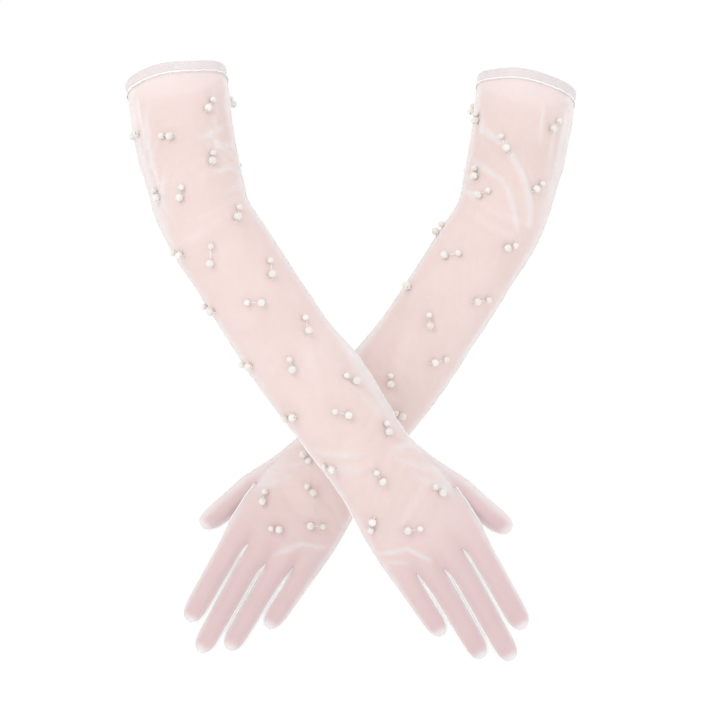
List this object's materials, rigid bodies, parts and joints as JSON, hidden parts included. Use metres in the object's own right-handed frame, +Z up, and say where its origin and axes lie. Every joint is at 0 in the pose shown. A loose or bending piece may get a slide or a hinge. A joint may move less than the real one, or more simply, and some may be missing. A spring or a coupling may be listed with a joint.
{
  "type": "long sheer gloves",
  "caption": "Pair of opera-length sheer tulle bridal gloves with sewn-on pearls, folded stitched cuffs and open sleeves that cover the arm, hand, fingers and thumb.",
  "frame": {"origin": "middle of the right glove's cuff opening", "axes": "+Z up, along the worn arms; +X to the viewer's right; +Y away from the viewer, from the backs of the hands to the palms"},
  "size_m": [0.3386, 0.1888, 0.4471],
  "materials": {
    "tulle": "fine sheer net, matt",
    "hem": "folded double layer of the same net",
    "thread": "white sewing thread",
    "pearl": "imitation pearl, soft gloss"
  },
  "bodies": {
    "right_upper": {"right_hem_band": "hem", "right_hem_stitching": "thread", "right_upper_back_panel": "tulle", "right_upper_palm_panel": "tulle", "right_upper_seams": "thread", "right_upper_large_pearls": "pearl", "right_upper_small_pearls": "pearl"},
    "right_forearm": {"right_forearm_back_panel": "tulle", "right_forearm_palm_panel": "tulle", "right_forearm_seams": "thread", "right_forearm_large_pearls": "pearl", "right_forearm_small_pearls": "pearl"},
    "right_hand": {"right_hand_back_panel": "tulle", "right_hand_palm_panel": "tulle", "right_hand_seams": "thread", "right_hand_large_pearls": "pearl", "right_hand_small_pearls": "pearl"},
    "right_index": {"right_index_stall": "tulle", "right_index_seam": "thread"},
    "right_middle": {"right_middle_stall": "tulle", "right_middle_seam": "thread"},
    "right_ring": {"right_ring_stall": "tulle", "right_ring_seam": "thread"},
    "right_little": {"right_little_stall": "tulle", "right_little_seam": "thread"},
    "right_thumb": {"right_thumb_stall": "tulle", "right_thumb_seam": "thread"},
    "left_upper": {"left_hem_band": "hem", "left_hem_stitching": "thread", "left_upper_back_panel": "tulle", "left_upper_palm_panel": "tulle", "left_upper_seams": "thread", "left_upper_large_pearls": "pearl", "left_upper_small_pearls": "pearl"},
    "left_forearm": {"left_forearm_back_panel": "tulle", "left_forearm_palm_panel": "tulle", "left_forearm_seams": "thread", "left_forearm_large_pearls": "pearl", "left_forearm_small_pearls": "pearl"},
    "left_hand": {"left_hand_back_panel": "tulle", "left_hand_palm_panel": "tulle", "left_hand_seams": "thread", "left_hand_large_pearls": "pearl", "left_hand_small_pearls": "pearl"},
    "left_index": {"left_index_stall": "tulle", "left_index_seam": "thread"},
    "left_middle": {"left_middle_stall": "tulle", "left_middle_seam": "thread"},
    "left_ring": {"left_ring_stall": "tulle", "left_ring_seam": "thread"},
    "left_little": {"left_little_stall": "tulle", "left_little_seam": "thread"},
    "left_thumb": {"left_thumb_stall": "tulle", "left_thumb_seam": "thread"}
  },
  "joints": [
    {"name": "gloves_apart", "type": "slide", "parent": "right_upper", "child": "left_upper", "axis": [0, 1, 0], "range_m": [0, 0.12]},
    {"name": "right_elbow", "type": "hinge", "parent": "right_upper", "child": "right_forearm", "pos_m": [0.02041, -0.03013, -0.10307], "axis": [0, -1, 0], "range_deg": [-20, 35]},
    {"name": "right_wrist", "type": "hinge", "parent": "right_forearm", "child": "right_hand", "pos_m": [0.14267, -0.03013, -0.28162], "axis": [0.8197, 0, 0.5729], "range_deg": [-30, 30]},
    {"name": "right_index_curl", "type": "hinge", "parent": "right_hand", "child": "right_index", "pos_m": [0.22079, -0.03013, -0.34258], "axis": [0.8704, 0, 0.4924], "range_deg": [-15, 70]},
    {"name": "right_middle_curl", "type": "hinge", "parent": "right_hand", "child": "right_middle", "pos_m": [0.20682, -0.03013, -0.35624], "axis": [0.8704, 0, 0.4924], "range_deg": [-15, 70]},
    {"name": "right_ring_curl", "type": "hinge", "parent": "right_hand", "child": "right_ring", "pos_m": [0.18995, -0.03013, -0.36581], "axis": [0.8616, 0, 0.5075], "range_deg": [-15, 70]},
    {"name": "right_little_curl", "type": "hinge", "parent": "right_hand", "child": "right_little", "pos_m": [0.1705, -0.03013, -0.37109], "axis": [0.8339, 0, 0.5519], "range_deg": [-15, 70]},
    {"name": "right_thumb_curl", "type": "hinge", "parent": "right_hand", "child": "right_thumb", "pos_m": [0.20601, -0.02013, -0.29294], "axis": [0.7254, 0, 0.6884], "range_deg": [-10, 40]},
    {"name": "left_elbow", "type": "hinge", "parent": "left_upper", "child": "left_forearm", "pos_m": [0.24459, 0.05387, -0.10307], "axis": [0, 1, 0], "range_deg": [-20, 35]},
    {"name": "left_wrist", "type": "hinge", "parent": "left_forearm", "child": "left_hand", "pos_m": [0.12233, 0.05387, -0.28162], "axis": [0.8197, 0, -0.5729], "range_deg": [-30, 30]},
    {"name": "left_index_curl", "type": "hinge", "parent": "left_hand", "child": "left_index", "pos_m": [0.04421, 0.05387, -0.34258], "axis": [0.8704, 0, -0.4924], "range_deg": [-15, 70]},
    {"name": "left_middle_curl", "type": "hinge", "parent": "left_hand", "child": "left_middle", "pos_m": [0.05818, 0.05387, -0.35624], "axis": [0.8704, 0, -0.4924], "range_deg": [-15, 70]},
    {"name": "left_ring_curl", "type": "hinge", "parent": "left_hand", "child": "left_ring", "pos_m": [0.07505, 0.05387, -0.36581], "axis": [0.8616, 0, -0.5075], "range_deg": [-15, 70]},
    {"name": "left_little_curl", "type": "hinge", "parent": "left_hand", "child": "left_little", "pos_m": [0.09451, 0.05387, -0.37109], "axis": [0.8339, 0, -0.5519], "range_deg": [-15, 70]},
    {"name": "left_thumb_curl", "type": "hinge", "parent": "left_hand", "child": "left_thumb", "pos_m": [0.05899, 0.06387, -0.29294], "axis": [0.7254, 0, -0.6884], "range_deg": [-10, 40]}
  ]
}
